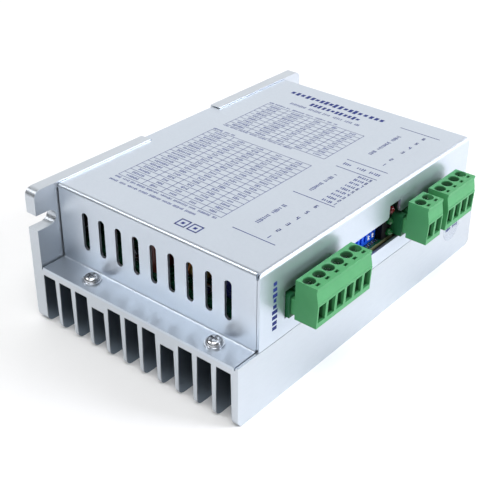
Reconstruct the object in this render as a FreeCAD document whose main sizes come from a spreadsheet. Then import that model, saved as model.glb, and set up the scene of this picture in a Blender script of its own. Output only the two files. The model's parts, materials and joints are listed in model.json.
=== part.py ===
import FreeCAD, Part
import os

# Stepper driver module: an extruded heat sink with an upright mounting flange, a folded sheet cover,
# a circuit board behind the connector side, and three pluggable screw-terminal blocks.
# Millimetres. X runs along the extrusion, -Y is the connector side, +Y the mounting flange, +Z is up,
# and the fin tips stand on Z = 0.

DIMENSIONS = {
    # overall case
    "case_length": 151.0,
    "front_y": -42.4,
    "back_y": 54.2,
    "case_height": 54.0,
    "run_clearance": 0.05,
    # heat sink section
    "flange_thickness": 4.9,
    "flange_root": 5.5,
    "base_top": 22.9,
    "gap_ceiling": 20.8,
    "boss_ceiling": 17.8,
    "fin_pitch": 8.21,
    "gap_width": 6.06,
    "gap_flare": 0.4,
    "rim_width": 1.0,
    "rim_top": 24.0,
    "corner_radius": 3.0,
    "notch_width": 6.0,
    "notch_depth": 8.6,
    "notch_z": 41.6,
    # cover
    "sheet": 1.0,
    "cover_length": 130.4,
    "cover_top": 53.5,
    "bend_radius": 1.5,
    "seam": 0.2,
    "tab_gap": 0.6,
    "end_gap": 0.6,
    "vent_width": 3.0,
    "vent_height": 15.0,
    "vent_low": 31.3,
    "vent_first_y": 35.9,
    "vent_pitch": 8.19,
    "slot_low": 30.6,
    "slot_high": 41.1,
    "slot_half": 52.4,
    "window_left": 8.2,
    "window_right": 15.2,
    "window_high": 46.4,
    "rear_tab_x": 1.2,
    "rear_tab_width": 39.0,
    "rear_tab_drop": 13.0,
    "rear_screw_spread": 24.0,
    "rear_screw_z": 46.0,
    # cover screws
    "ledge_screw_x": 70.0,
    "ledge_screw_high_y": 29.2,
    "ledge_screw_low_y": -27.9,
    "thread_radius": 1.45,
    "tapped_radius": 1.5,
    "pan_radius": 2.9,
    "pan_height": 2.2,
    "pan_flange_radius": 3.5,
    # board
    "board_length": 124.0,
    "board_front_y": -39.8,
    "board_back_y": 48.6,
    "board_low": 29.4,
    "board_thickness": 1.6,
    "post_x": 57.5,
    "post_high_y": 21.04,
    "post_low_y": -11.8,
    # plug and header family
    "pole_pitch": 5.08,
    "header_front_y": -43.7,
    "header_depth": 12.0,
    "header_height": 8.57,
    "header_margin": 2.02,
    "header_wall": 0.9,
    "plug_y": -45.1,
    "plug_low": 30.7,
    "plug_height": 15.0,
    "plug_six_x": -35.5,
    "plug_two_x": 21.4,
    "plug_four_x": 40.4,
    "clamp_y": 3.4,
    "well_radius": 2.2,
    "clamp_screw_radius": 2.0,
    "clamp_shank_radius": 1.2,
    # setting switches
    "switch_x": -3.75,
    "switch_front_y": -37.0,
    "switch_length": 24.1,
    "switch_pitch": 2.54,
    "switch_travel": 3.6,
    # indicator lamps
    "lamp_x": 12.7,
    "lamp_low_z": 32.9,
    "lamp_pitch": 4.6,
    "lamp_radius": 1.5,
}

POLES = {"six": 6, "two": 2, "four": 4}
FIN_GAPS = 11
BOSS_GAPS = (3, 7)
VENTS = 9
SWITCHES = 9
LOW_SWITCHES = (8, 9)
LAMPS = 3
TRANSISTORS = 8

doc = FreeCAD.newDocument("stepper_driver")
sheet = doc.addObject("Spreadsheet::Sheet", "dims")
pieces = []


def fill_sheet():
    """Write every driving dimension as a named cell."""
    for row, (name, value) in enumerate(DIMENSIONS.items(), start=1):
        sheet.set(f"A{row}", name)
        sheet.set(f"B{row}", str(value))
        sheet.setAlias(f"B{row}", name)
    doc.recompute()


def size(name):
    """A driving dimension as a number, for outlines and choices made in code."""
    return float(sheet.get(name))


def vector(x, y, z):
    return FreeCAD.Vector(x, y, z)


# ---------------------------------------------------------------- small modelling helpers


def place(thing, x=0, y=0, z=0):
    """Bind the position of an object; each value is a number or a sheet expression."""
    for axis, value in (("x", x), ("y", y), ("z", z)):
        thing.setExpression(f"Placement.Base.{axis}", str(value))
    return thing


def box(span_x, span_y, span_z):
    """A block between two limits on each axis, each a number or a sheet expression."""
    block = doc.addObject("Part::Box", "block")
    for side, (low, high) in (("Length", span_x), ("Width", span_y), ("Height", span_z)):
        block.setExpression(side, f"({high}) - ({low})")
    return place(block, span_x[0], span_y[0], span_z[0])


def rod(radius, length, x=0, y=0, z=0, along="z"):
    """A cylinder that starts at a point and runs along one axis."""
    cylinder = doc.addObject("Part::Cylinder", "rod")
    cylinder.setExpression("Radius", str(radius))
    cylinder.setExpression("Height", str(length))
    if along == "x":
        cylinder.Placement.Rotation = FreeCAD.Rotation(vector(0, 1, 0), 90)
    if along == "y":
        cylinder.Placement.Rotation = FreeCAD.Rotation(vector(1, 0, 0), -90)
    return place(cylinder, x, y, z)


def taper(radius_low, radius_high, length, x=0, y=0, z=0, along="z"):
    """A cone frustum that starts at a point and runs along one axis."""
    cone = doc.addObject("Part::Cone", "taper")
    cone.setExpression("Radius1", str(radius_low))
    cone.setExpression("Radius2", str(radius_high))
    cone.setExpression("Height", str(length))
    if along == "y":
        cone.Placement.Rotation = FreeCAD.Rotation(vector(1, 0, 0), -90)
    return place(cone, x, y, z)


def join(parts):
    """Fuse touching or overlapping solids into one and drop the seams between coplanar faces."""
    fused = doc.addObject("Part::MultiFuse", "joined")
    fused.Shapes = parts
    fused.Refine = True
    return fused


def cut(base, tools):
    """Take a list of tools away from a solid."""
    result = doc.addObject("Part::Cut", "cut")
    result.Base = base
    result.Tool = tools[0] if len(tools) == 1 else join(tools)
    return result


def group(parts):
    """Keep identical separate solids together as one node."""
    together = doc.addObject("Part::Compound", "group")
    together.Links = parts
    return together


def round_edges(base, radius, chosen):
    """Round every edge that the test picks."""
    doc.recompute()
    rounded = doc.addObject("Part::Fillet", "rounded")
    rounded.Base = base
    numbers = [i for i, edge in enumerate(base.Shape.Edges, start=1) if chosen(edge)]
    rounded.Edges = [(number, radius, radius) for number in numbers]
    return rounded


def is_along(edge, axis):
    """True for a straight edge that runs along the given axis."""
    if edge.Curve.TypeId != "Part::GeomLine":
        return False
    run = edge.Vertexes[-1].Point - edge.Vertexes[0].Point
    return abs(run.dot(axis)) > 0.999 * run.Length


def is_near(value, target):
    return abs(value - target) < 0.01


ALONG_X = FreeCAD.Vector(1, 0, 0)
ALONG_Y = FreeCAD.Vector(0, 1, 0)


def profile_body(name, outline, length):
    """A PartDesign body: a closed outline in the YZ plane, padded equally both ways along X."""
    body = doc.addObject("PartDesign::Body", name)
    plane = next(item for item in body.Origin.OriginFeatures if item.Role == "YZ_Plane")
    sketch = body.newObject("Sketcher::SketchObject", name + "_outline")
    sketch.AttachmentSupport = (plane, [""])
    sketch.MapMode = "FlatFace"
    corners = [vector(y, z, 0) for y, z in outline]
    for start, end in zip(corners, corners[1:] + corners[:1]):
        sketch.addGeometry(Part.LineSegment(start, end))
    pad = body.newObject("PartDesign::Pad", name + "_pad")
    pad.Profile = sketch
    pad.SideType = "Symmetric"
    pad.setExpression("Length", str(length))
    return body


def add_piece(label, thing):
    """Name a finished sub-part; the label is its file name."""
    thing.Label = label
    pieces.append(thing)
    return thing


# ---------------------------------------------------------------- screws


def pan_screw(x, y, z, shank):
    """Flanged pan-head screw with a cross recess, standing on its shank; z is the underside of the head."""
    head = rod("dims.pan_radius", "dims.pan_height")
    head = round_edges(head, 1.5, lambda edge: is_near(edge.BoundBox.ZMin, size("pan_height")))
    flange = rod("dims.pan_flange_radius", 0.6)
    body = join([head, flange, rod("dims.thread_radius", shank, z=f"-{shank}")])
    bar = box((-1.8, 1.8), (-0.5, 0.5), (1.1, 2.5))
    crossbar = box((-0.5, 0.5), (-1.8, 1.8), (1.1, 2.5))
    return place(cut(body, [bar, crossbar]), x, y, z)


def sunk_screw(x, z, shank):
    """Countersunk cross-recess screw driven into the back of the flange, head flush with it."""
    head = taper("dims.thread_radius", 2.5, 1.25, y="-1.25", along="y")
    body = join([head, rod("dims.thread_radius", shank, y=f"-1.25 - {shank}", along="y")])
    bar = box((-1.4, 1.4), (-0.8, 0.2), (-0.35, 0.35))
    crossbar = box((-0.35, 0.35), (-0.8, 0.2), (-1.4, 1.4))
    return place(cut(body, [bar, crossbar]), x, "dims.back_y - 0.1", z)


def wall_screw(x, z):
    """Pan screw lying along Y that holds a power package against the flange."""
    shank = rod("dims.thread_radius", 4.7, along="y")
    head = rod("dims.pan_radius - 0.1", 1.8, y=-1.8, along="y")
    slot = box((-2.9, 2.9), (-1.9, -1.1), (-0.35, 0.35))
    return place(cut(join([head, shank]), [slot]), x, "dims.back_y - dims.flange_thickness - 1.6", z)


# ---------------------------------------------------------------- heat sink and cover


def gap_centre(index):
    """Y of the middle of one fin gap, counted from the flange."""
    first = size("back_y") - size("flange_root") - size("gap_width") / 2
    return first - index * size("fin_pitch")


def heat_sink_outline():
    """Section of the extrusion: flange, base plate, front rim and the comb of tapered fins."""
    front, back = size("front_y"), size("back_y")
    flange_face = back - size("flange_thickness")
    rim_face = front + size("rim_width")
    outline = [
        (back, 0),
        (back, size("case_height")),
        (flange_face, size("case_height")),
        (flange_face, size("base_top")),
        (rim_face, size("base_top")),
        (rim_face, size("rim_top")),
        (front, size("rim_top")),
        (front, 0),
    ]
    half = size("gap_width") / 2
    flared = half + size("gap_flare")
    for index in reversed(range(FIN_GAPS)):
        middle = gap_centre(index)
        ceiling = size("boss_ceiling") if index in BOSS_GAPS else size("gap_ceiling")
        outline += [
            (middle - flared, 0),
            (middle - half, ceiling),
            (middle + half, ceiling),
            (middle + flared, 0),
        ]
    return outline


def mirrored(side, inner, outer):
    """X limits of a feature that spans two distances from the middle, on one side of it."""
    limits = (f"{side} * ({inner})", f"{side} * ({outer})")
    return limits if side > 0 else limits[::-1]


def flange_notch(side):
    """Open-ended mounting slot in one end of the flange."""
    centre_x = "dims.case_length / 2 - dims.notch_depth + dims.notch_width / 2"
    depth = ("dims.back_y - 2 * dims.flange_thickness", "dims.back_y + 1")
    level = ("dims.notch_z - dims.notch_width / 2", "dims.notch_z + dims.notch_width / 2")
    throat = box(mirrored(side, centre_x, "dims.case_length / 2 + 1"), depth, level)
    end_x = f"{side} * ({centre_x})"
    end = rod("dims.notch_width / 2", "2 * dims.flange_thickness + 1", end_x, depth[0], "dims.notch_z", "y")
    return join([throat, end])


def ledge_screw_places():
    """X and Y of the four screws that hold the cover's end tabs."""
    for side in (-1, 1):
        for name in ("dims.ledge_screw_high_y", "dims.ledge_screw_low_y"):
            yield f"{side} * dims.ledge_screw_x", name


def post_places():
    """X and Y of the four board posts, over the thick strips of the base."""
    for side in (-1, 1):
        for name in ("dims.post_high_y", "dims.post_low_y"):
            yield f"{side} * dims.post_x", name


def rear_screw_places():
    for side in (-1, 1):
        yield f"dims.rear_tab_x + {side} * dims.rear_screw_spread / 2"


def transistor_x(index):
    return (index - (TRANSISTORS - 1) / 2) * 11.5


RECTIFIER_X = -54.5
POWER_SCREW_Z = 47.6


def make_heat_sink():
    """One extrusion, then its rounded end corners, notches, cover recess and tapped holes."""
    extrusion = profile_body("extrusion", heat_sink_outline(), "dims.case_length")
    doc.recompute()
    end_x = size("case_length") / 2
    levels = (0, size("case_height"))

    def at_outline_corner(edge):
        middle = edge.BoundBox.Center
        at_level = any(is_near(middle.z, level) for level in levels)
        return is_along(edge, ALONG_Y) and is_near(abs(middle.x), end_x) and at_level

    rounded = round_edges(extrusion, size("corner_radius"), at_outline_corner)
    back = "dims.back_y"
    half = "(dims.rear_tab_width / 2 + 0.4)"
    across = (f"dims.rear_tab_x - {half}", f"dims.rear_tab_x + {half}")
    step = box(across, (f"{back} - dims.flange_thickness - 1", f"{back} + 1"),
               ("dims.cover_top - dims.sheet", "dims.case_height + 1"))
    pocket_low = "dims.cover_top - dims.rear_tab_drop - 0.4"
    pocket = box(across, (f"{back} - dims.sheet - 0.1", f"{back} + 1"), (pocket_low, "dims.case_height + 1"))
    cutters = [join([step, pocket]), flange_notch(-1), flange_notch(1)]
    for x, y in ledge_screw_places():
        cutters.append(rod("dims.tapped_radius", 6, x, y, "dims.base_top - 5"))
    for x, y in post_places():
        cutters.append(rod("dims.tapped_radius", 8, x, y, "dims.base_top - 7"))
    for x in rear_screw_places():
        cutters.append(rod("dims.tapped_radius", 8, x, f"{back} - 6", "dims.rear_screw_z", "y"))
        cutters.append(rod(2.0, 1, x, f"{back} - 1.5", "dims.rear_screw_z", "y"))
    tapped_y = f"{back} - dims.flange_thickness - 1"
    for x in [transistor_x(i) for i in range(TRANSISTORS)] + [RECTIFIER_X]:
        cutters.append(rod("dims.tapped_radius", 4.3, x, tapped_y, POWER_SCREW_Z, "y"))
    add_piece("heat_sink", cut(rounded, cutters))


def vent_slot(index, side):
    """One upright slot with round ends through an end panel."""
    x = f"{side} * dims.cover_length / 2 - 2"
    y = f"dims.vent_first_y - {index} * dims.vent_pitch"
    radius = "dims.vent_width / 2"
    low = f"dims.vent_low + {radius}"
    high = f"dims.vent_low + dims.vent_height - {radius}"
    middle = box((x, f"{x} + 4"), (f"{y} - {radius}", f"{y} + {radius}"), (low, high))
    return join([middle, rod(radius, 4, x, y, low, "x"), rod(radius, 4, x, y, high, "x")])


def make_cover():
    """Sheet cover: top, connector-side panel, two end panels with foot tabs, and a rear tab."""
    half = "dims.cover_length / 2"
    top = ("dims.cover_top - dims.sheet", "dims.cover_top")
    inner_y = "dims.front_y + dims.sheet"
    back_y = "dims.back_y - dims.flange_thickness - dims.seam"
    tab_y = ("dims.front_y + dims.rim_width + dims.tab_gap", back_y)
    blocks = [
        box((f"-{half}", half), ("dims.front_y", back_y), top),
        box((f"-{half}", half), ("dims.front_y", inner_y), ("dims.rim_top + dims.seam", "dims.cover_top")),
    ]
    for side in (-1, 1):
        panel_x = mirrored(side, f"{half} - dims.sheet", half)
        tab_x = mirrored(side, f"{half} - dims.sheet", "dims.case_length / 2")
        blocks.append(box(panel_x, (inner_y, back_y), ("dims.base_top + 0.3", "dims.cover_top")))
        blocks.append(box(tab_x, tab_y, ("dims.base_top", "dims.base_top + dims.sheet")))
    rear_half = "dims.rear_tab_width / 2"
    rear_x = (f"dims.rear_tab_x - {rear_half}", f"dims.rear_tab_x + {rear_half}")
    blocks.append(box(rear_x, (f"{back_y} - 1", "dims.back_y"), top))
    drop = ("dims.cover_top - dims.rear_tab_drop", "dims.cover_top")
    blocks.append(box(rear_x, ("dims.back_y - dims.sheet", "dims.back_y"), drop))
    shell = join(blocks)

    end_x = size("cover_length") / 2
    cover_top = size("cover_top")

    def on_outer_bend(edge):
        middle = edge.BoundBox.Center
        over_end = is_along(edge, ALONG_Y) and is_near(abs(middle.x), end_x)
        over_side = is_along(edge, ALONG_X) and is_near(middle.y, size("front_y"))
        over_back = is_along(edge, ALONG_X) and is_near(middle.y, size("back_y"))
        return is_near(middle.z, cover_top) and (over_end or over_side or over_back)

    def in_tab_bend(edge):
        middle = edge.BoundBox.Center
        level = is_near(middle.z, size("base_top") + size("sheet"))
        return is_along(edge, ALONG_Y) and is_near(abs(middle.x), end_x) and level

    bent = round_edges(shell, size("bend_radius"), on_outer_bend)
    bent = round_edges(bent, 0.6, in_tab_bend)

    def at_window_corner(edge):
        middle = edge.BoundBox.Center
        beside = is_near(middle.x, size("window_left")) or is_near(middle.x, size("window_right"))
        return is_along(edge, ALONG_Y) and beside and is_near(middle.z, size("slot_high"))

    slot_y = ("dims.front_y - 1", "dims.front_y + 2 * dims.sheet")
    opening = join([
        box(("-dims.slot_half", "dims.slot_half"), slot_y, ("dims.slot_low", "dims.slot_high")),
        box(("dims.window_left", "dims.window_right"), slot_y, ("dims.slot_low", "dims.window_high")),
    ])
    cutters = [round_edges(opening, 1.2, at_window_corner)]
    for side in (-1, 1):
        cutters += [vent_slot(index, side) for index in range(VENTS)]
        outer = f"{side} * {half}"
        seam_x = (f"{outer} - 1.2", f"{outer} + 1.2")
        seam_y = (inner_y, f"{inner_y} + dims.seam")
        cutters.append(box(seam_x, seam_y, ("dims.base_top - 1", "dims.cover_top - dims.bend_radius")))
        gap_x = mirrored(side, f"{half} - 1.2", "dims.case_length / 2 + 1")
        flange_y = "dims.back_y - dims.flange_thickness"
        gap_y = (f"{flange_y} - dims.end_gap", flange_y)
        cutters.append(box(gap_x, gap_y, ("dims.base_top - 1", "dims.cover_top - dims.bend_radius")))
        relief_x = f"{side} * ({half} - 0.5)"
        cutters.append(rod(0.7, 4, relief_x, "dims.front_y + dims.sheet", "dims.cover_top - 2.2"))
        cutters.append(rod(0.7, 2, relief_x, "dims.front_y + dims.sheet", "dims.rim_top - 0.8"))
    for x, y in ledge_screw_places():
        cutters.append(rod(1.7, 3, x, y, "dims.base_top - 1"))
    for x in rear_screw_places():
        cutters.append(taper(1.55, 2.85, 1.4, x, "dims.back_y - 1.3", "dims.rear_screw_z", "y"))
    add_piece("cover", cut(bent, cutters))


def make_case_screws():
    """Screws that hold the cover to the heat sink."""
    tab_top = "dims.base_top + dims.sheet"
    add_piece("cover_screws", group([pan_screw(x, y, tab_top, 5) for x, y in ledge_screw_places()]))
    add_piece("rear_screws", group([sunk_screw(x, "dims.rear_screw_z", 2.6) for x in rear_screw_places()]))


# ---------------------------------------------------------------- board and what stands on it


def pole_offset(count, index):
    """X of one pole from the middle of its block, as an expression."""
    return f"{index - (count - 1) / 2} * dims.pole_pitch"


def block_x(name):
    return f"dims.plug_{name}_x"


BOARD_TOP = "(dims.board_low + dims.board_thickness)"


def make_board():
    """Circuit board on four posts, drilled for the posts and the header pins."""
    span_x = ("-dims.board_length / 2", "dims.board_length / 2")
    plate = box(span_x, ("dims.board_front_y", "dims.board_back_y"), ("dims.board_low", BOARD_TOP))
    holes = [rod(1.6, 4, x, y, "dims.board_low - 1") for x, y in post_places()]
    for name, count in POLES.items():
        for index in range(count):
            x = f"{block_x(name)} + {pole_offset(count, index)}"
            holes.append(rod(0.8, 4, x, "dims.header_front_y + 10.9", "dims.board_low - 1"))
    add_piece("circuit_board", cut(plate, holes))


def hex_post(x, y):
    """Hexagonal spacer with a threaded stud below and a tapped hole above."""
    hexagon = doc.addObject("Part::Prism", "hexagon")
    hexagon.Polygon = 6
    hexagon.Circumradius = 3.0
    hexagon.setExpression("Height", "dims.board_low - dims.base_top")
    stud = rod("dims.thread_radius", 4.5, z=-4.5)
    tapped = rod("dims.tapped_radius", 6, z="dims.board_low - dims.base_top - 5")
    return place(cut(join([hexagon, stud]), [tapped]), x, y, "dims.base_top")


def make_board_mounting():
    add_piece("board_posts", group([hex_post(x, y) for x, y in post_places()]))
    add_piece("board_screws", group([pan_screw(x, y, BOARD_TOP, 5.5) for x, y in post_places()]))


def make_header(name, count):
    """Open-fronted shroud that a plug slides into, standing on the board's front edge."""
    half = f"(({count} * dims.pole_pitch + dims.header_margin) / 2)"
    back = "dims.header_depth"
    shroud = box((f"-{half}", half), (0, back), (0, "dims.header_height"))

    def on_top_edge(edge):
        middle = edge.BoundBox.Center
        at_end = is_near(abs(middle.x), (count * size("pole_pitch") + size("header_margin")) / 2)
        return is_along(edge, ALONG_Y) and at_end and is_near(middle.z, size("header_height"))

    shroud = round_edges(shroud, 1.0, on_top_edge)
    inner = f"({half} - dims.header_wall)"
    cutters = [box((f"-{inner}", inner), (-1, 8.8), (1.2, 7.5))]
    for index in range(count):
        x = pole_offset(count, index)
        cutters.append(box((f"{x} - 0.9", f"{x} + 0.9"), (-1, 2.4), (7, 9)))
        cutters.append(box((f"{x} - 0.6", f"{x} + 0.6"), (8, 13), (3.6, 5.0)))
        cutters.append(box((f"{x} - 0.6", f"{x} + 0.6"), (10.2, 13), (-1, 5.0)))
    shroud = cut(shroud, cutters)
    add_piece(f"header_{name}", place(shroud, block_x(name), "dims.header_front_y", BOARD_TOP))


def header_pin(x):
    """Bent square pin: a contact blade into the shroud and a solder leg through the board."""
    blade = box((-0.5, 0.5), (2.0, 11.4), (3.8, 4.8))
    leg = box((-0.5, 0.5), (10.4, 11.4), (-3.2, 4.8))
    return place(join([blade, leg]), x, "dims.header_front_y", BOARD_TOP)


def make_header_pins():
    pins = []
    for name, count in POLES.items():
        pins += [header_pin(f"{block_x(name)} + {pole_offset(count, index)}") for index in range(count)]
    add_piece("header_pins", group(pins))


def make_switch_body():
    """Right-angle switch bank: a block with one upright slot for each slider."""
    half = "(dims.switch_length / 2)"
    block = box((f"-{half}", half), (0, 6.5), (0, 9.9))
    slots = []
    for index in range(SWITCHES):
        x = f"{index - (SWITCHES - 1) / 2} * dims.switch_pitch"
        slots.append(box((f"{x} - 0.65", f"{x} + 0.65"), (-1, 0.7), (1.2, 6.6)))
    add_piece("switch_bank", place(cut(block, slots), "dims.switch_x", "dims.switch_front_y", BOARD_TOP))


def make_switch_sliders():
    """Nine flush sliders: the last two rest at the bottom of their slots, the others at the top."""
    for index in range(SWITCHES):
        thumb = box((-0.55, 0.55), (-0.1, 0.6), (0, 1.5))
        groove = box((-0.65, 0.65), (-0.2, 0.1), (0.6, 0.9))
        x = f"dims.switch_x + {index - (SWITCHES - 1) / 2} * dims.switch_pitch"
        lift = "0" if index + 1 in LOW_SWITCHES else "dims.switch_travel"
        slider = place(cut(thumb, [groove]), x, "dims.switch_front_y", f"{BOARD_TOP} + 1.3 + {lift}")
        add_piece(f"slider_{index + 1}", slider)


def lamp_height(level):
    return f"dims.lamp_low_z + {level} * dims.lamp_pitch"


def make_lamp_holder():
    """Black block that stacks the three indicator lamps."""
    span_x = ("dims.lamp_x - 4.2", "dims.lamp_x + 1.8")
    block = box(span_x, (-39.6, -32.6), (BOARD_TOP, f"{BOARD_TOP} + 13.4"))
    bores = []
    for level in range(LAMPS):
        bores.append(rod("dims.lamp_radius + 0.1", 5.4, "dims.lamp_x", -40.6, lamp_height(level), "y"))
    add_piece("lamp_holder", cut(block, bores))


def lamp(level):
    """Round-nosed lens lying along Y, with its dome toward the connector side."""
    barrel = rod("dims.lamp_radius", 4.4, y=-4.4, along="y")
    ball = doc.addObject("Part::Sphere", "dome")
    ball.setExpression("Radius", "dims.lamp_radius")
    place(ball, y=-4.4)
    return place(join([barrel, ball]), "dims.lamp_x", -35.6, lamp_height(level))


def make_lamps():
    add_piece("lamps_green", group([lamp(0), lamp(1)]))
    add_piece("lamp_red", lamp(2))


def make_capacitors():
    """Two sleeved electrolytic cans standing behind the terminal headers."""
    cans = []
    for x in (-48.0, -29.5):
        can = place(rod(8.0, 20.0), x, -22.6, BOARD_TOP)
        cans.append(round_edges(can, 1.0, lambda edge: edge.BoundBox.ZLength < 0.01))
    add_piece("bulk_capacitors", group(cans))


def make_film_capacitor():
    height = 13.0
    block = box((-60.0, -47.0), (7.0, 13.5), (BOARD_TOP, f"{BOARD_TOP} + {height}"))
    top = size("board_low") + size("board_thickness") + height
    block = round_edges(block, 1.0, lambda edge: is_near(edge.BoundBox.ZMax, top))
    add_piece("film_capacitor", block)


def make_choke():
    """Toroidal choke lying flat on the board."""
    ring = doc.addObject("Part::Torus", "ring")
    ring.Radius1 = 6.0
    ring.Radius2 = 3.2
    place(ring, -46.0, -3.6, f"{BOARD_TOP} + 3.2")
    add_piece("choke", ring)


def power_package(x, width, height):
    """Flat package standing on edge against the flange, with a screw hole through its tab."""
    wall = "dims.back_y - dims.flange_thickness"
    tab = box((-width / 2, width / 2), (f"{wall} - 1.6", wall), (34.5, 50.2))
    body = box((-width / 2, width / 2), (f"{wall} - 4.6", f"{wall} - 1.2"), (34.5, 34.5 + height))
    legs = [box((offset - 0.4, offset + 0.4), (f"{wall} - 2.9", f"{wall} - 2.3"), (BOARD_TOP, 35.0))
            for offset in (-2.54, 0, 2.54)]
    hole = rod(1.6, 4, 0, f"{wall} - 3", POWER_SCREW_Z, "y")
    return place(cut(join([tab, body] + legs), [hole]), x)


def make_power_parts():
    """Power packages screwed to the inside of the flange, which carries their heat away."""
    places = [transistor_x(index) for index in range(TRANSISTORS)]
    add_piece("power_transistors", group([power_package(x, 10.0, 9.0) for x in places]))
    add_piece("rectifier", power_package(RECTIFIER_X, 12.0, 9.5))
    add_piece("power_screws", group([wall_screw(x, POWER_SCREW_Z) for x in places + [RECTIFIER_X]]))


# ---------------------------------------------------------------- plugs


def plug_outline():
    """Side view of a plug as (y, z): sloped front with a brow, flat back and the nose behind it."""
    height = size("plug_height")
    return [
        (0, 0),
        (0, 1.7),
        (8.6, 1.7),
        (8.6, 7.5),
        (0, 7.5),
        (0, height),
        (-8.5, height),
        (-8.5, height - 1.05),
        (-8.2, height - 1.15),
        (-8.95, 9.55),
        (-8.75, 9.4),
        (-9.1, 9.1),
        (-8.6, 0),
    ]


def pole_cutters(x):
    """Hollows of one pole: wire entry, clamp chamber, screw well, contact space and test point."""
    clamp = "-dims.clamp_y"
    return [
        box((f"{x} - 1.9", f"{x} + 1.9"), (-10, -1.5), (2.0, 8.4)),
        box((f"{x} - 1.9", f"{x} + 1.9"), (-5.4, -1.5), (1.9, 10.45)),
        rod("dims.well_radius", 5, x, clamp, 11.6),
        rod("dims.clamp_shank_radius + 0.1", 4, x, clamp, 9.0),
        box((f"{x} - 1.3", f"{x} + 1.3"), (-2, 7.6), (3.3, 6.4)),
        box((f"{x} - 0.8", f"{x} + 0.8"), (7, 10), (3.8, 5.4)),
        box((f"{x} - 0.95", f"{x} + 0.95"), (-7.25, -6.1), (11.0, 16)),
    ]


def make_plug_housing(name, count):
    """Moulded housing of one plug."""
    body = profile_body(f"plug_{name}_block", plug_outline(), f"{count} * dims.pole_pitch")
    cutters = []
    for index in range(count):
        cutters += pole_cutters(pole_offset(count, index))
    housing = cut(body, cutters)
    add_piece(f"plug_{name}", place(housing, block_x(name), "dims.plug_y", "dims.plug_low"))


def plug_contact(x):
    """Spring socket for a header pin with the bar that a clamped wire is pressed against."""
    bar = box((-1.2, 1.2), (-5.0, 1.2), (5.5, 6.3))
    sleeve = box((-1.2, 1.2), (0.6, 7.4), (3.4, 6.3))
    bore = box((-0.65, 0.65), (0, 8), (3.95, 5.25))
    return place(cut(join([bar, sleeve]), [bore]), x, "dims.plug_y", "dims.plug_low")


def make_plug_contacts(name, count):
    places = [f"{block_x(name)} + {pole_offset(count, index)}" for index in range(count)]
    add_piece(f"contacts_{name}", group([plug_contact(x) for x in places]))


def make_clamp_screw(name, count, index):
    """Slotted terminal screw: its head turns in the well and its shank lifts the clamp."""
    head = rod("dims.clamp_screw_radius", 1.85)
    shank = rod("dims.clamp_shank_radius", 5.1, z=-5.1)
    slot = box((-2.1, 2.1), (-0.35, 0.35), (1.0, 2))
    screw = cut(join([head, shank]), [slot])
    x = f"{block_x(name)} + {pole_offset(count, index)}"
    place(screw, x, "dims.plug_y - dims.clamp_y", "dims.plug_low + 11.6 + 0.02")
    add_piece(f"terminal_screw_{name}_{index + 1}", screw)


def make_clamp_cage(name, count, index):
    """Box clamp threaded on the screw; it rests low with its wire opening clear."""
    frame = box((-1.75, 1.75), (-1.8, 1.8), (2.0, 7.8))
    opening = box((-1.3, 1.3), (-3, 3), (2.8, 6.4))
    thread = rod("dims.clamp_shank_radius + dims.run_clearance", 4, 0, 0, 6.0)
    cage = cut(frame, [opening, thread])
    x = f"{block_x(name)} + {pole_offset(count, index)}"
    place(cage, x, "dims.plug_y - dims.clamp_y", "dims.plug_low")
    add_piece(f"clamp_{name}_{index + 1}", cage)


def make_plugs():
    for name, count in POLES.items():
        make_plug_housing(name, count)
        make_plug_contacts(name, count)
        for index in range(count):
            make_clamp_screw(name, count, index)
            make_clamp_cage(name, count, index)


# ---------------------------------------------------------------- build, check and write


def check_document():
    """Stop on any failed object or unsound shape."""
    doc.recompute()
    for thing in doc.Objects:
        if {"Invalid", "Error"} & set(thing.State):
            raise RuntimeError(f"{thing.Label} failed to compute")
    for piece in pieces:
        if piece.Shape.isNull() or not piece.Shape.isValid():
            raise RuntimeError(f"{piece.Label} has no valid shape")


def write_pieces():
    os.makedirs("parts", exist_ok=True)
    for piece in pieces:
        piece.Shape.exportStep(f"parts/{piece.Label}.step")
        print(f"{piece.Label:24s} solids {len(piece.Shape.Solids):2d} volume {piece.Shape.Volume:10.1f}")


fill_sheet()
make_heat_sink()
make_cover()
make_case_screws()
make_board()
make_board_mounting()
for header_name, pole_count in POLES.items():
    make_header(header_name, pole_count)
make_header_pins()
make_switch_body()
make_switch_sliders()
make_lamp_holder()
make_lamps()
make_capacitors()
make_film_capacitor()
make_choke()
make_power_parts()
make_plugs()
check_document()
write_pieces()
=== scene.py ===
import json
import math
import random

import bmesh
import bpy
from mathutils import Matrix, Vector


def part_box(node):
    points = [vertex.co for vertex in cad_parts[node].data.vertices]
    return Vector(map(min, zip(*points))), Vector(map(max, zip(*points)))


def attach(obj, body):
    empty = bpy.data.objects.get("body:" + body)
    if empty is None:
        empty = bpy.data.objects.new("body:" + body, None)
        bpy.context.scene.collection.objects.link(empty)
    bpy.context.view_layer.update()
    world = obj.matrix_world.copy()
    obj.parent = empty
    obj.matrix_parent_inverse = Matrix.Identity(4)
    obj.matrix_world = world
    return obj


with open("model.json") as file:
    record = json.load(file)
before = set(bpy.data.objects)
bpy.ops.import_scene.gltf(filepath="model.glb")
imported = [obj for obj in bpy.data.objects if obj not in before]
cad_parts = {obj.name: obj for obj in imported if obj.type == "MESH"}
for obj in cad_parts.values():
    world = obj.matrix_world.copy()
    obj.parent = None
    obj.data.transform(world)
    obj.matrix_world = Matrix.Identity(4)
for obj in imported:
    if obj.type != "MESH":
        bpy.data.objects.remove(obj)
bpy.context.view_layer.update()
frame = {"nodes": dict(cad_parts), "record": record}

MM = 0.001
NODES = frame["nodes"]
COVER_LOW, COVER_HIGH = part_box("cover")
SINK_LOW, SINK_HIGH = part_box("heat_sink")
BOARD_LOW, BOARD_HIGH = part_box("circuit_board")
BANK_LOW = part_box("switch_bank")[0]
SWITCHES = 9
INK_THICKNESS = 0.03 * MM

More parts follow.
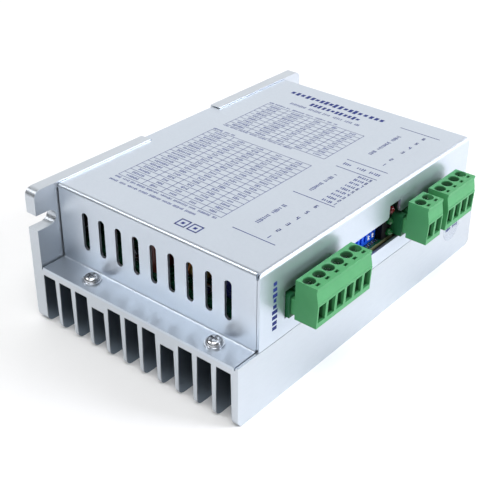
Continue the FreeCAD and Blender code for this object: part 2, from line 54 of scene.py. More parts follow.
# ---------------------------------------------------------------- camera, light and floor

# Angles in radians, places in metres, lens and sensor in millimetres, shift in picture widths.
CAMERA_AZIMUTH = math.radians(-52.5)
CAMERA_ELEVATION = math.radians(29.8)
CAMERA_ROLL = math.radians(1.43)
CAMERA_PLACE = Vector((-0.2595, -0.1979, 0.2156))
CAMERA_LENS = 71.03
CAMERA_SENSOR = 36.0
CAMERA_SHIFT = (-0.057, -0.061)
CAMERA_NEAREST = 0.01

CENTRE = (0.0, 0.0, 0.03)
WHITE = (1.0, 1.0, 1.0)
COOL_WHITE = (0.92, 0.93, 1.0)
# Each soft box: where it stands, what it faces, its width and height in metres, its radiance and its colour.
SOFTBOXES = {
    "key": ((0.75, -1.15, 0.6), CENTRE, (0.8, 0.8), 12.5, COOL_WHITE),
    "edge": ((1.0, -0.45, 0.95), CENTRE, (0.3, 0.3), 4.0, WHITE),
    "top": ((-0.42, -0.3, 1.25), (-0.25, -0.18, 0.0), (0.8, 0.8), 5.0, WHITE),
    "backdrop": ((1.35, 1.05, 0.85), CENTRE, (3.4, 1.7), 1.0, WHITE),
    "rim": ((-0.6, 0.62, 0.85), CENTRE, (0.5, 0.4), 5.6, WHITE),
    "fill": ((-1.1, -0.3, 0.8), CENTRE, (0.9, 0.7), 0.9, WHITE),
}
SURROUND_COLOR = (0.97, 0.985, 1.0, 1.0)
SURROUND_LIGHT = 0.15
SURROUND_SEEN = 1.0
FLOOR_REACH = 3.0


def add_camera():
    """The camera at the reference viewing angle, with a small roll and shift for the framing."""
    data = bpy.data.cameras.new("camera")
    data.lens = CAMERA_LENS
    data.sensor_width = CAMERA_SENSOR
    data.shift_x, data.shift_y = CAMERA_SHIFT
    data.clip_start = CAMERA_NEAREST
    camera = bpy.data.objects.new("camera", data)
    bpy.context.scene.collection.objects.link(camera)
    level = math.cos(CAMERA_ELEVATION)
    back = Vector((
        math.sin(CAMERA_AZIMUTH) * level,
        -math.cos(CAMERA_AZIMUTH) * level,
        math.sin(CAMERA_ELEVATION),
    ))
    right = (-back).cross(Vector((0, 0, 1))).normalized()
    turn = Matrix.Rotation(CAMERA_ROLL, 3, back)
    right = turn @ right
    up = back.cross(right)
    axes = Matrix((right, up, back)).transposed()
    camera.matrix_world = Matrix.Translation(CAMERA_PLACE) @ axes.to_4x4()
    bpy.context.scene.camera = camera


def add_softbox(name, place, target, size, radiance, color):
    """A rectangular soft light aimed at a target, set by how bright its face looks and by its colour."""
    width, height = size
    data = bpy.data.lights.new(name, "AREA")
    data.shape = "RECTANGLE"
    data.size = width
    data.size_y = height
    data.energy = radiance * math.pi * width * height
    data.color = color
    lamp = bpy.data.objects.new(name, data)
    bpy.context.scene.collection.objects.link(lamp)
    aim = Vector(target) - Vector(place)
    lamp.matrix_world = Matrix.Translation(Vector(place)) @ aim.to_track_quat("-Z", "Y").to_matrix().to_4x4()


def add_surroundings():
    """A world that lights the object dimly but looks white where the camera sees it."""
    world = bpy.data.worlds.new("studio")
    bpy.context.scene.world = world
    world.use_nodes = True
    tree = world.node_tree
    surround = tree.nodes["Background"]
    surround.inputs["Color"].default_value = SURROUND_COLOR
    path = tree.nodes.new("ShaderNodeLightPath")
    seen_directly = path.outputs["Is Camera Ray"]
    strength = spread(tree, seen_directly, SURROUND_LIGHT, SURROUND_SEEN, 0.0, 1.0)
    tree.links.new(strength, surround.inputs["Strength"])


def add_floor():
    """A pale paper floor, far wider than the object."""
    reach = FLOOR_REACH
    corners = [(-reach, -reach, 0), (reach, -reach, 0), (reach, reach, 0), (-reach, reach, 0)]
    mesh = bpy.data.meshes.new("floor")
    mesh.from_pydata(corners, [], [(0, 1, 2, 3)])
    floor = bpy.data.objects.new("floor", mesh)
    bpy.context.scene.collection.objects.link(floor)
    floor.data.materials.append(floor_material())


def add_studio():
    """Surroundings, soft boxes and floor, shown with plain tones."""
    add_surroundings()
    for name, setting in SOFTBOXES.items():
        add_softbox(name, *setting)
    bpy.context.scene.view_settings.view_transform = "Standard"
    add_floor()


# ---------------------------------------------------------------- materials


def start_material(name, color, metallic=0.0, roughness=0.5):
    """A principled material with its plain values set; returns it with its node tree and shader."""
    material = bpy.data.materials.new(name)
    material.use_nodes = True
    tree = material.node_tree
    shader = tree.nodes["Principled BSDF"]
    shader.inputs["Base Color"].default_value = (*color, 1.0)
    shader.inputs["Metallic"].default_value = metallic
    shader.inputs["Roughness"].default_value = roughness
    return material, tree, shader


def object_coordinates(tree, stretch=(1, 1, 1)):
    """Object-space coordinates, scaled to stretch a pattern along an axis."""
    source = tree.nodes.new("ShaderNodeTexCoord")
    mapping = tree.nodes.new("ShaderNodeMapping")
    mapping.inputs["Scale"].default_value = stretch
    tree.links.new(source.outputs["Object"], mapping.inputs["Vector"])
    return mapping.outputs["Vector"]


def noise(tree, scale, detail=3.0, stretch=(1, 1, 1)):
    """A soft random pattern from 0 to 1; a larger scale gives finer grain."""
    texture = tree.nodes.new("ShaderNodeTexNoise")
    texture.inputs["Scale"].default_value = scale
    texture.inputs["Detail"].default_value = detail
    tree.links.new(object_coordinates(tree, stretch), texture.inputs["Vector"])
    return texture.outputs["Fac"]


def spread(tree, factor, low, high, start=0.3, end=0.7):
    """Map a 0 to 1 pattern onto a range of values."""
    remap = tree.nodes.new("ShaderNodeMapRange")
    remap.inputs["From Min"].default_value = start
    remap.inputs["From Max"].default_value = end
    remap.inputs["To Min"].default_value = low
    remap.inputs["To Max"].default_value = high
    tree.links.new(factor, remap.inputs["Value"])
    return remap.outputs["Result"]


def color_mixer(tree, factor):
    """A node that blends its inputs A and B by a 0 to 1 pattern."""
    mix = tree.nodes.new("ShaderNodeMix")
    mix.data_type = "RGBA"
    tree.links.new(factor, mix.inputs["Factor"])
    return mix


def blend_colors(tree, factor, first, second):
    """Blend between two plain colours."""
    mix = color_mixer(tree, factor)
    mix.inputs["A"].default_value = (*first, 1.0)
    mix.inputs["B"].default_value = (*second, 1.0)
    return mix.outputs["Result"]


def blend_patterns(tree, factor, first, second):
    """Blend between two colour patterns."""
    mix = color_mixer(tree, factor)
    tree.links.new(first, mix.inputs["A"])
    tree.links.new(second, mix.inputs["B"])
    return mix.outputs["Result"]


def vary_color(tree, shader, factor, first, second):
    """Let a pattern vary the surface between two colours."""
    tree.links.new(blend_colors(tree, factor, first, second), shader.inputs["Base Color"])


def vary_roughness(tree, shader, factor, low, high):
    """Let a pattern vary the surface between two roughnesses."""
    tree.links.new(spread(tree, factor, low, high), shader.inputs["Roughness"])


def inside_box(tree, low, high, fade):
    """1 inside a box in object space, falling to 0 towards its six faces."""
    source = tree.nodes.new("ShaderNodeTexCoord")
    split = tree.nodes.new("ShaderNodeSeparateXYZ")
    tree.links.new(source.outputs["Object"], split.inputs["Vector"])
    inside = None
    for axis, start, end in zip("XYZ", low, high):
        for face, inward in ((start, fade), (end, -fade)):
            ramp = spread(tree, split.outputs[axis], 0.0, 1.0, face, face + inward)
            if inside is None:
                inside = ramp
                continue
            product = tree.nodes.new("ShaderNodeMath")
            product.operation = "MULTIPLY"
            tree.links.new(inside, product.inputs[0])
            tree.links.new(ramp, product.inputs[1])
            inside = product.outputs["Value"]
    return inside


def add_bump(tree, shader, height, strength, distance):
    """Raise the surface by a pattern, up to a distance in metres."""
    bump = tree.nodes.new("ShaderNodeBump")
    bump.inputs["Strength"].default_value = strength
    bump.inputs["Distance"].default_value = distance
    tree.links.new(height, bump.inputs["Height"])
    tree.links.new(bump.outputs["Normal"], shader.inputs["Normal"])


def shade(color, factor):
    """The same colour, darker below a factor of 1 and lighter above it."""
    return tuple(channel * factor for channel in color)


# Slate colours painted into the channels between the fins as shade.
PAINTED_CHANNEL_SHADE = (0.17, 0.21, 0.26), (0.21, 0.26, 0.31)


def blasted_aluminium(name, color, grain_stretch, painted_shade_box=None):
    """Bead-blasted, clear-anodised aluminium: fine grain, cloudy colour and uneven sheen.

    Inside the given box, such as the channels between the fins, the colour is darkened to a dull slate as
    painted shade.
    """
    material, tree, shader = start_material(name, color, metallic=0.9, roughness=0.36)
    clouds = noise(tree, 28.0, 4.0)
    finish = blend_colors(tree, clouds, shade(color, 0.95), shade(color, 1.03))
    if painted_shade_box:
        low, high = painted_shade_box
        # Painted shade: the colour turns to a dark slate inside the box.
        channel_shade = blend_colors(tree, clouds, *PAINTED_CHANNEL_SHADE)
        finish = blend_patterns(tree, inside_box(tree, low, high, 0.5 * MM), finish, channel_shade)
    tree.links.new(finish, shader.inputs["Base Color"])
    vary_roughness(tree, shader, noise(tree, 900.0, 3.0, grain_stretch), 0.31, 0.41)
    add_bump(tree, shader, noise(tree, 3600.0, 2.0, grain_stretch), 0.22, 0.05 * MM)
    return material


def floor_material():
    """White paper with faint fibres."""
    material, tree, shader = start_material("floor_paper", shade(WHITE, 0.93), roughness=0.7)
    vary_color(tree, shader, noise(tree, 60.0, 5.0), shade(WHITE, 0.92), shade(WHITE, 0.95))
    return material


def plated_steel():
    """Bright zinc plate with fine turning marks."""
    color = (0.6, 0.62, 0.65)
    material, tree, shader = start_material("zinc_plate", color, metallic=1.0, roughness=0.2)
    vary_color(tree, shader, noise(tree, 700.0, 4.0), shade(color, 0.82), shade(color, 1.08))
    vary_roughness(tree, shader, noise(tree, 1500.0, 3.0), 0.14, 0.3)
    add_bump(tree, shader, noise(tree, 2600.0, 2.0, (1, 1, 6)), 0.15, 0.03 * MM)
    return material


def moulded_plastic(name, color, roughness, gloss=0.5, painted_shade_box=None):
    """Moulded plastic with a spark-eroded texture and faint flow marks.

    Inside the given box, such as the wells of a plug, its colour is darkened as painted shade.
    """
    material, tree, shader = start_material(name, color, roughness=roughness)
    shader.inputs["Specular IOR Level"].default_value = gloss
    flow = noise(tree, 130.0, 4.0)
    finish = blend_colors(tree, flow, shade(color, 0.9), shade(color, 1.08))
    if painted_shade_box:
        low, high = painted_shade_box
        # Painted shade: the colour is darkened inside the box.
        well_shade = blend_colors(tree, flow, shade(color, 0.32), shade(color, 0.4))
        finish = blend_patterns(tree, inside_box(tree, low, high, 0.3 * MM), finish, well_shade)
    tree.links.new(finish, shader.inputs["Base Color"])
    vary_roughness(tree, shader, noise(tree, 450.0, 3.0), roughness - 0.06, roughness + 0.08)
    add_bump(tree, shader, noise(tree, 1500.0, 3.0), 0.25, 0.06 * MM)
    return material


def tinted_lens(name, color):
    """Deeply tinted glossy epoxy, partly see-through, with a faintly uneven surface."""
    material, tree, shader = start_material(name, color, roughness=0.05)
    shader.inputs["Transmission Weight"].default_value = 0.3
    shader.inputs["Specular IOR Level"].default_value = 0.3
    shader.inputs["IOR"].default_value = 1.52
    vary_color(tree, shader, noise(tree, 500.0, 2.0), shade(color, 0.75), shade(color, 1.2))
    add_bump(tree, shader, noise(tree, 900.0, 2.0), 0.06, 0.05 * MM)
    return material


def board_material():
    """Glossy solder mask over a raised pattern of copper tracks."""
    dark, bright = (0.003, 0.05, 0.024), (0.008, 0.11, 0.052)
    material, tree, shader = start_material("solder_mask", dark, roughness=0.22)
    tracks = tree.nodes.new("ShaderNodeTexBrick")
    tracks.inputs["Scale"].default_value = 260.0
    tracks.inputs["Mortar Size"].default_value = 0.03
    tracks.inputs["Color1"].default_value = (0, 0, 0, 1)
    tracks.inputs["Color2"].default_value = (0.1, 0.1, 0.1, 1)
    tracks.inputs["Mortar"].default_value = (1, 1, 1, 1)
    tree.links.new(object_coordinates(tree), tracks.inputs["Vector"])
    vary_color(tree, shader, tracks.outputs["Color"], dark, bright)
    vary_roughness(tree, shader, noise(tree, 400.0), 0.16, 0.3)
    add_bump(tree, shader, tracks.outputs["Color"], 0.3, 0.05 * MM)
    return material


def laminate_material():
    """Sawn glass-fibre edge of the board."""
    material, tree, shader = start_material("glass_laminate", (0.16, 0.16, 0.08), roughness=0.7)
    layers = noise(tree, 900.0, 3.0, (1, 1, 6))
    vary_color(tree, shader, layers, (0.08, 0.1, 0.04), (0.22, 0.22, 0.11))
    add_bump(tree, shader, layers, 0.4, 0.05 * MM)
    return material


def ink_material():
    """Screen-printed ink, a little thin and uneven."""
    material, tree, shader = start_material("print_ink", (0.015, 0.028, 0.16), roughness=0.6)
    shader.inputs["Specular IOR Level"].default_value = 0.2
    density = noise(tree, 1200.0, 3.0)
    vary_color(tree, shader, density, (0.01, 0.018, 0.12), (0.022, 0.04, 0.22))
    add_bump(tree, shader, density, 0.2, 0.01 * MM)
    return material


def film_material():
    """Clear sticker film with a faint sheen."""
    material, tree, shader = start_material("sticker_film", (0.8, 0.86, 0.95), roughness=0.18)
    shader.inputs["Alpha"].default_value = 0.22
    ripple = noise(tree, 350.0, 2.0)
    vary_roughness(tree, shader, ripple, 0.12, 0.25)
    add_bump(tree, shader, ripple, 0.12, 0.05 * MM)
    return material


def copper_wire():
    """Enamelled copper wire."""
    color = (0.55, 0.2, 0.07)
    material, tree, shader = start_material("enamelled_copper", color, metallic=1.0, roughness=0.28)
    enamel = noise(tree, 600.0, 3.0)
    vary_color(tree, shader, enamel, (0.42, 0.14, 0.04), (0.66, 0.27, 0.1))
    add_bump(tree, shader, enamel, 0.15, 0.03 * MM)
    return material


EXTRUSION_COLOR = (0.565, 0.605, 0.65)
SHEET_COLOR = (0.575, 0.63, 0.70)
PLUG_GREEN = (0.066, 0.295, 0.112)
# The space between the fins, as its lowest and highest corner; the aluminium there is darkened as painted
# shade.
CHANNELS = (
    (SINK_LOW.x + 0.05 * MM, SINK_LOW.y + 0.9 * MM, -1.0 * MM),
    (SINK_HIGH.x - 0.05 * MM, SINK_HIGH.y - 2.5 * MM, 22.0 * MM),
)
MATERIALS = {
    "extruded_aluminium": blasted_aluminium("extruded_aluminium", EXTRUSION_COLOR, (0.25, 1, 1), CHANNELS),
    "sheet_aluminium": blasted_aluminium("sheet_aluminium", SHEET_COLOR, (1, 1, 1)),
    "plated_screw": plated_steel(),
    "board_green": board_material(),
    "post_metal": moulded_plastic("nickelled_brass", (0.6, 0.55, 0.4), 0.3),
    "header_green": moulded_plastic("header_green", (0.012, 0.11, 0.04), 0.45, 0.3),
    "tinned_pin": plated_steel(),
    "switch_blue": moulded_plastic("switch_blue", (0.01, 0.10, 0.72), 0.3),
    "slider_white": moulded_plastic("slider_white", (0.86, 0.87, 0.88), 0.35),
    "lamp_black": moulded_plastic("lamp_black", (0.003, 0.003, 0.004), 0.6, 0.15),
    "lens_green": tinted_lens("lens_green", (0.008, 0.13, 0.03)),
    "lens_red": tinted_lens("lens_red", (0.14, 0.005, 0.007)),
    "sleeve_blue": moulded_plastic("sleeve_blue", (0.008, 0.012, 0.13), 0.25),
    "film_red": moulded_plastic("film_red", (0.13, 0.012, 0.008), 0.35),
    "choke_core": moulded_plastic("choke_core", (0.24, 0.17, 0.04), 0.5),
    "package_black": moulded_plastic("package_black", (0.02, 0.02, 0.022), 0.5),
    "clamp_steel": plated_steel(),
}
INK = ink_material()
LAMINATE = laminate_material()

SHARP_ANGLE = math.radians(35)
SOFT_EDGES = {
    "heat_sink": 0.25 * MM,
    "cover": 0.1 * MM,
    "plug_six": 0.14 * MM,
    "plug_two": 0.14 * MM,
    "plug_four": 0.14 * MM,
    "header_six": 0.12 * MM,
    "header_two": 0.12 * MM,
    "header_four": 0.12 * MM,
    "switch_bank": 0.15 * MM,
    "cover_screws": 0.08 * MM,
}


def plug_plastic(name):
    """Green housing plastic, darkened as painted shade inside the screw wells and wire entries."""
    low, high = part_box(name)
    inner_low = (low.x + 0.5 * MM, low.y + 1.2 * MM, low.z + 0.8 * MM)
    inner_high = (high.x - 0.5 * MM, low.y + 8.8 * MM, high.z - 0.3 * MM)
    return moulded_plastic(f"{name}_plastic", PLUG_GREEN, 0.45, 0.3, (inner_low, inner_high))


def finish_cad_nodes():
    """Give each CAD node its material and soften the sharp edges that the eye can catch."""
    for entry in frame["record"]["subparts"]:
        node = NODES[entry["node"]]
        if entry["material_slot"] == "plug_green":
            material = plug_plastic(entry["node"])
        else:
            material = MATERIALS[entry["material_slot"]]
        for holder in node.material_slots:
            holder.material = material
    for name, width in SOFT_EDGES.items():
        bevel = NODES[name].modifiers.new("soft_edges", "BEVEL")
        bevel.width = width
        bevel.segments = 2
        bevel.limit_method = "ANGLE"
        bevel.angle_limit = SHARP_ANGLE
        bevel.harden_normals = False


# ---------------------------------------------------------------- building pieces


def add_piece(name, mesh, material, body="case"):
    """Link a finished mesh as a piece of the object that rides on a body."""
    piece = bpy.data.objects.new(name, mesh)
    bpy.context.scene.collection.objects.link(piece)
    mesh.materials.append(material)
    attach(piece, body)


def block_mesh(name, blocks, bevel=0.0):
    """One mesh of separate closed blocks, each given by its lowest and highest corner in metres."""
    bm = bmesh.new()
    for low, high in blocks:
        low, high = Vector(low), Vector(high)
        place = Matrix.Translation((low + high) / 2) @ Matrix.Diagonal((*(high - low), 1))
        bmesh.ops.create_cube(bm, size=1.0, matrix=place)
    if bevel:
        bmesh.ops.bevel(bm, geom=bm.edges[:], offset=bevel, segments=2, affect="EDGES")
    mesh = bpy.data.meshes.new(name)
    bm.to_mesh(mesh)
    bm.free()
    return mesh


def revolve_mesh(name, profile, place, steps):
    """Closed turned shape: (radius, height) points from the bottom to the top, about an upright axis."""
    bm = bmesh.new()
    rings = []
    for radius, height in profile:
        ring = []
        for step in range(steps):
            angle = 2 * math.pi * step / steps
            ring.append(bm.verts.new((radius * math.cos(angle), radius * math.sin(angle), height)))
        rings.append(ring)
    for below, above in zip(rings, rings[1:]):
        for step in range(steps):
            following = (step + 1) % steps
            bm.faces.new((below[step], below[following], above[following], above[step]))
    bm.faces.new(reversed(rings[0]))
    bm.faces.new(rings[-1])
    bm.transform(place)
    mesh = bpy.data.meshes.new(name)
    bm.to_mesh(mesh)
    bm.free()
    return mesh


# ---------------------------------------------------------------- printing

# Each stroke of a numeral: left, right, low and high edge in half heights.
SEGMENTS = {
    "top": (0.0, 1.0, 1.7, 2.0),
    "middle": (0.0, 1.0, 0.85, 1.15),
    "bottom": (0.0, 1.0, 0.0, 0.3),
    "upper_left": (0.0, 0.3, 1.0, 2.0),
    "upper_right": (0.7, 1.0, 1.0, 2.0),
    "lower_left": (0.0, 0.3, 0.0, 1.0),
    "lower_right": (0.7, 1.0, 0.0, 1.0),
}
DIGITS = {
    1: ("upper_right", "lower_right"),
    2: ("top", "upper_right", "middle", "lower_left", "bottom"),
    3: ("top", "upper_right", "middle", "lower_right", "bottom"),
    4: ("upper_left", "upper_right", "middle", "lower_right"),
    5: ("top", "upper_left", "middle", "lower_right", "bottom"),
    6: ("top", "upper_left", "middle", "lower_left", "lower_right", "bottom"),
    7: ("top", "upper_right", "lower_right"),
    8: tuple(SEGMENTS),
    9: ("top", "upper_left", "upper_right", "middle", "lower_right", "bottom"),
}


class Printer:
    """Collects flat marks on one face; u runs with the reading direction and v up the line."""

    def __init__(self, origin, along, up, seed):
        self.origin = Vector(origin)
        self.along = Vector(along)
        self.up = Vector(up)
        self.out = self.along.cross(self.up)
        self.chance = random.Random(seed)
        self.marks = []

    def bar(self, u, v, width, height):
        """One solid rectangle of ink, from (u, v) in millimetres."""
        self.marks.append((u, v, width, height))

    def line(self, start, end, width):
        """A ruled line along u or v."""
        (u0, v0), (u1, v1) = start, end
        half = width / 2
        self.bar(min(u0, u1) - half, min(v0, v1) - half, abs(u1 - u0) + width, abs(v1 - v0) + width)

    def digit(self, value, u, v, height):
        """A plain segmented numeral."""
        unit = height / 2
        for segment in DIGITS[value]:
            left, right, low, high = SEGMENTS[segment]
            self.bar(u + left * unit, v + low * unit, (right - left) * unit, (high - low) * unit)

    def test_mark(self, u, v, size, stroke):
        """A plain framed square with a solid square inside."""
        for edge in (0, size - stroke):
            self.bar(u + edge, v, stroke, size)
            self.bar(u, v + edge, size, stroke)
        inset, inner = size * 0.36, size * 0.28
        self.bar(u + inset, v + inset, inner, inner)

    def dummy_word(self, u, v, length, height, weight=0.2):
        """Upright ticks of uneven height about a middle line: a stand-in for a word that forms no letter."""
        stroke = height * weight
        place = u
        while place < u + length - stroke:
            tall = height * self.chance.uniform(0.5, 1.0)
            self.bar(place, v + (height - tall) / 2, stroke, tall)
            place += stroke + height * self.chance.uniform(0.18, 0.35)

    def dummy_line(self, u, v, length, height, weight=0.2):
        """Several dummy words with gaps between them."""
        place = u
        while place < u + length:
            word = min(height * self.chance.uniform(1.6, 5.0), u + length - place)
            self.dummy_word(place, v, word, height, weight)
            place += word + height * 0.7

    def build(self, name, ink=INK):
        """All marks as one mesh of thin closed blocks lying on the face."""
        bm = bmesh.new()
        axes = Matrix((self.along, self.up, self.out)).transposed().to_4x4()
        for u, v, width, height in self.marks:
            middle = Vector((u + width / 2, v + height / 2, 0)) * MM
            middle.z = INK_THICKNESS / 2
            size = Matrix.Diagonal((width * MM, height * MM, INK_THICKNESS, 1))
            bmesh.ops.create_cube(bm, size=1.0, matrix=axes @ Matrix.Translation(middle) @ size)
        bm.transform(Matrix.Translation(self.origin))
        mesh = bpy.data.meshes.new(name)
        bm.to_mesh(mesh)
        bm.free()
        add_piece(name, mesh, ink)


# Millimetres, like every place and size that a printer is given.
TABLE_PITCH = 2.953
TABLE_LINE = 0.17
ENTRY_FOOT = 0.75
ENTRY_HEIGHT = 1.5
LEGEND_LINE = 0.3
TERMINAL_TEXT = 2.0
SWITCH_TEXT = 1.7
LAMP_TEXT = 1.9


def rule_table(printer, low_x, rows, columns, entries):
    """A ruled table read towards -Y, filled with dummy words.

    columns are the Y of the upright lines, and entries are the lengths of the words in each column.
    """
    top = low_x + rows * TABLE_PITCH
    starts = [-edge for edge in columns]
    for row in range(rows + 1):
        level = low_x + row * TABLE_PITCH
        printer.line((starts[0], level), (starts[-1], level), TABLE_LINE)
    for start in starts:
        printer.line((start, low_x), (start, top), TABLE_LINE)
    for row in range(rows):
        foot = low_x + row * TABLE_PITCH + ENTRY_FOOT
        for left, right, length in zip(starts, starts[1:], entries):
            width = length * printer.chance.uniform(0.85, 1.1)
            printer.dummy_word((left + right - width) / 2, foot, width, ENTRY_HEIGHT)


def print_tables(face):
    """The two setting tables, with the lines of small dummy words around them."""
    tables = Printer(face, (0, -1, 0), (1, 0, 0), 7)
    rule_table(tables, -46.2, 17, (38.2, 26.7, 17.4, 8.2, -1.1, -10.3), (6.5, 3.4, 3.4, 3.4, 3.4))
    rule_table(tables, 11.5, 9, (37.7, 26.7, 15.7, 6.7, -2.0, -10.6), (5.5, 5.5, 3.2, 3.2, 3.2))
    tables.dummy_line(-38.4, 4.7, 11.0, 1.3)
    tables.dummy_line(-37.8, 9.9, 34.0, 1.1)
    tables.dummy_line(-37.8, 39.1, 34.5, 1.3)
    tables.dummy_line(-38.2, -48.3, 48.0, 1.3)
    tables.dummy_line(-38.2, -51.0, 41.0, 1.3)
    tables.build("setting_tables")


def print_heading(face):
    """Two heavy heading lines, a lighter line under them and two framed squares."""
    heading = Printer(face, (0, -1, 0), (1, 0, 0), 21)
    heading.dummy_word(-37.5, 53.0, 47.0, 3.5, 0.45)
    heading.dummy_word(-23.7, 48.0, 25.0, 2.9, 0.45)
    heading.dummy_line(-30.7, 43.9, 34.5, 2.0, 0.16)
    for place in (1.0, 6.4):
        heading.test_mark(place, -59.2, 4.4, 0.5)
    heading.build("heading_marks")


def print_legends(face):
    """Rules between the groups of terminals, with a title for each group."""
    legends = Printer(face, (1, 0, 0), (0, 1, 0), 5)
    for x in (-48.5, -16.0, 9.9, 17.0, 54.2):
        legends.line((x, -34.8), (x, -17.3), LEGEND_LINE)
    for start, length in ((-41.0, 15.5), (-11.5, 16.3), (26.0, 20.8)):
        legends.dummy_line(start, -22.2, length, 1.9, 0.17)
    legends.build("legend_rules")


def print_numbers(face):
    """Numerals at the terminals, a word with a numeral for each switch and a word for each lamp."""
    numbers = Printer(face, (0, -1, 0), (1, 0, 0), 9)
    near_edge = 29.4
    for index in range(6):
        numbers.digit(index + 1, near_edge, -46.6 + index * 5.16, TERMINAL_TEXT)
    for index in range(SWITCHES):
        row = -14.95 + index * 2.75
        numbers.dummy_word(28.4, row, 4.3, SWITCH_TEXT, 0.24)
        numbers.digit(index + 1, 33.1, row, SWITCH_TEXT)
    for place, length in ((18.2, 3.6), (24.2, 3.6), (29.6, 4.6)):
        numbers.dummy_word(place, 12.5, length, LAMP_TEXT, 0.22)
    for index, x in enumerate((21.2, 26.4, 34.4, 39.4, 44.4, 49.7)):
        numbers.digit(index + 1, near_edge, x, TERMINAL_TEXT)
    numbers.build("terminal_numbers")


def print_top():
    """Everything printed on the cover's top."""
    face = Vector((0, 0, COVER_HIGH.z))
    print_tables(face)
    print_heading(face)
    print_legends(face)
    print_numbers(face)


def print_side():
    """A heavy row of ticks beside the terminals on the connector side, read downwards."""
    marks = Printer((0, COVER_LOW.y, 0), (0, 0, -1), (1, 0, 0), 3)
    marks.dummy_word(-47.4, -59.0, 20.0, 2.8, 0.5)
    marks.build("side_marks")


def add_sticker():
    """Round clear inspection sticker with a few small marks, on the heat sink's side."""
    radius = 6.5 * MM
    centre = Vector((58.5 * MM, SINK_LOW.y, 16.0 * MM))
    face_out = Matrix.Rotation(math.radians(90), 4, "X")
    edge = 0.08 * MM
    profile = [(radius, 0), (radius, edge * 0.6), (radius - edge, edge)]
    mesh = revolve_mesh("inspection_sticker", profile, Matrix.Translation(centre) @ face_out, 96)
    add_piece("inspection_sticker", mesh, film_material())
    marks = Printer((centre.x, SINK_LOW.y - edge, centre.z), (1, 0, 0), (0, 0, 1), 11)
    marks.dummy_word(-4.6, -1.3, 4.0, 1.6, 0.34)
    marks.dummy_word(0.6, -1.3, 4.2, 1.6, 0.34)
    marks.build("sticker_marks")


# ---------------------------------------------------------------- board details


def add_board_edge():
    """Bare laminate along the board's front edge, between the two layers of solder mask."""
    mask = 0.05 * MM
    low = (BOARD_LOW.x, BOARD_LOW.y - 0.02 * MM, BOARD_LOW.z + mask)
    high = (BOARD_HIGH.x, BOARD_LOW.y + 0.3 * MM, BOARD_HIGH.z - mask)
    add_piece("board_edge", block_mesh("board_edge", [(low, high)]), LAMINATE)


def chip_block(x, y, length, width, height):
    """Corners of a block lying on the board, from its middle and size in millimetres."""
    low = Vector((x - length / 2, y - width / 2, 0)) * MM
    high = Vector((x + length / 2, y + width / 2, height)) * MM
    low.z += BOARD_HIGH.z
    high.z += BOARD_HIGH.z
    return low, high


def add_resistors():
    """A row of chip resistors with tinned ends along the board's front edge."""
    row_y = BOARD_LOW.y / MM + 1.5
    bodies, ends = [], []
    for index in range(10):
        x = -17.0 + index * 2.6
        bodies.append(chip_block(x, row_y, 1.0, 1.2, 0.5))
        for side in (-1, 1):
            ends.append(chip_block(x + side * 0.7, row_y, 0.4, 1.25, 0.55))
    add_piece("resistors", block_mesh("resistors", bodies, 0.05 * MM), MATERIALS["package_black"])
    add_piece("resistor_ends", block_mesh("resistor_ends", ends, 0.08 * MM), MATERIALS["tinned_pin"])


CONTROLLER_X = 6.0
CONTROLLER_Y = -8.0


def add_packages():
    """Five optocouplers, the controller and two smaller chips."""
    packages = [chip_block(18.0 + index * 7.5, -22.0, 4.6, 6.5, 3.0) for index in range(5)]
    packages.append(chip_block(CONTROLLER_X, CONTROLLER_Y, 14.0, 14.0, 1.6))
    packages.append(chip_block(30.0, -6.0, 10.0, 7.5, 2.2))
    packages.append(chip_block(48.0, -6.0, 8.0, 6.0, 1.8))
    add_piece("packages", block_mesh("packages", packages, 0.25 * MM), MATERIALS["package_black"])


def add_controller_legs():
    """Rows of fine legs that pass under the controller and show on its four sides."""
    span, width, height = 16.6, 0.25, 0.3
    legs = []
    for index in range(20):
        offset = -6.2 + index * 0.65
        legs.append(chip_block(CONTROLLER_X + offset, CONTROLLER_Y, width, span, height))
        legs.append(chip_block(CONTROLLER_X, CONTROLLER_Y + offset, span, width, height))
    add_piece("package_legs", block_mesh("package_legs", legs), MATERIALS["tinned_pin"])


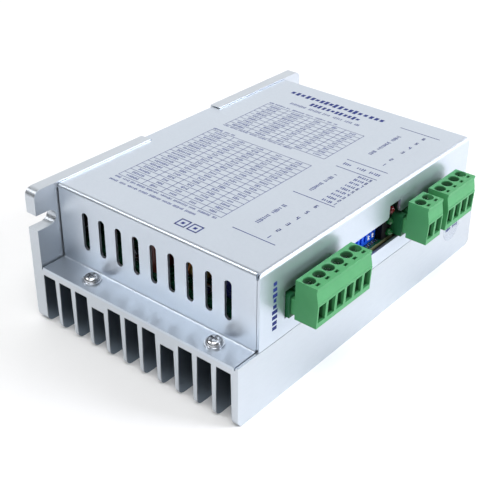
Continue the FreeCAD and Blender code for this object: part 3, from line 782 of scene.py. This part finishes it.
def add_choke_winding():
    """Copper wire wound round the toroidal core."""
    low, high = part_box("choke")
    centre = (low + high) / 2
    section = (high.z - low.z) / 2
    ring = (high.x - low.x) / 2 - section
    wire = 0.4 * MM
    turns = 30
    points_per_turn = 16
    curve = bpy.data.curves.new("choke_winding", "CURVE")
    curve.dimensions = "3D"
    curve.bevel_depth = wire
    curve.bevel_resolution = 3
    spline = curve.splines.new("POLY")
    count = turns * points_per_turn
    spline.points.add(count - 1)
    spline.use_cyclic_u = True
    reach = section + wire
    for index, point in enumerate(spline.points):
        around = 2 * math.pi * index / count
        twist = around * turns
        radius = ring + reach * math.cos(twist)
        offset = Vector((radius * math.cos(around), radius * math.sin(around), reach * math.sin(twist)))
        point.co = (*(centre + offset), 1.0)
    holder = bpy.data.objects.new("choke_winding_curve", curve)
    bpy.context.scene.collection.objects.link(holder)
    bpy.context.view_layer.update()
    mesh = bpy.data.meshes.new_from_object(holder)
    bpy.data.objects.remove(holder)
    add_piece("choke_winding", mesh, copper_wire())


def add_capacitor_tops():
    """Bare metal discs on top of the two cans."""
    low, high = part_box("bulk_capacitors")
    radius = (high.y - low.y) / 2
    profile = [(radius * 0.82, 0), (radius * 0.82, 0.12 * MM), (radius * 0.78, 0.2 * MM)]
    for number, x in enumerate((low.x + radius, high.x - radius), start=1):
        place = Matrix.Translation(Vector((x, (low.y + high.y) / 2, high.z)))
        name = f"can_top_{number}"
        add_piece(name, revolve_mesh(name, profile, place, 64), MATERIALS["extruded_aluminium"])


def add_switch_numbers():
    """Numerals 1 to 9 above the sliders on the switch bank."""
    printer = Printer((0, BANK_LOW.y, BANK_LOW.z), (1, 0, 0), (0, 0, 1), 2)
    foot, height, left_of_middle = 7.3, 1.6, 0.45
    for index in range(SWITCHES):
        low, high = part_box(f"slider_{index + 1}")
        middle = (low.x + high.x) / 2 / MM
        printer.digit(index + 1, middle - left_of_middle, foot, height)
    printer.build("switch_numbers", MATERIALS["slider_white"])


add_camera()
add_studio()
finish_cad_nodes()
print_top()
print_side()
add_sticker()
add_board_edge()
add_resistors()
add_packages()
add_controller_legs()
add_choke_winding()
add_capacitor_tops()
add_switch_numbers()
